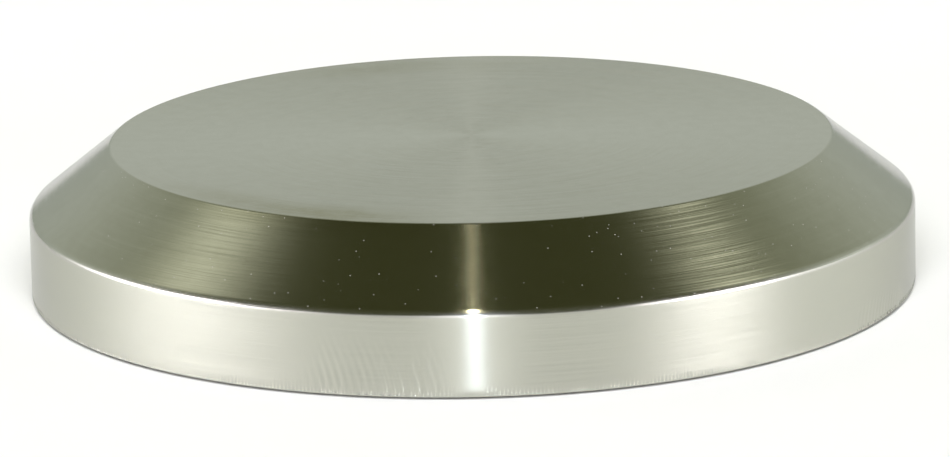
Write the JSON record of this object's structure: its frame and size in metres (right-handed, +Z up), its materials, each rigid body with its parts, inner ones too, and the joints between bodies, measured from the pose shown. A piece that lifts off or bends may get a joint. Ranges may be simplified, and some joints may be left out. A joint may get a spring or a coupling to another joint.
{
  "type": "pipe cap",
  "caption": "Round blank cap for a union-nut pipe joint: a turned steel disc with a bevelled shoulder and plain cylindrical rim, and a rubber ring seal let into its underside.",
  "frame": {"origin": "on the axis, in the plane that the free cap rests on, which is the lower face of the seal ring, 0.2 mm below the metal underside", "axes": "+Z up the axis to the flat outer face; the cap is round, so X and Y are free, and +Y points away from the viewer in the main picture"},
  "size_m": [0.059, 0.059, 0.01],
  "materials": {
    "turned_steel": "turned, fine circular lathe marks",
    "seal_rubber": "matt moulded"
  },
  "bodies": {
    "root": {"cap_disc": "turned_steel", "seal_ring": "seal_rubber"}
  },
  "joints": []
}
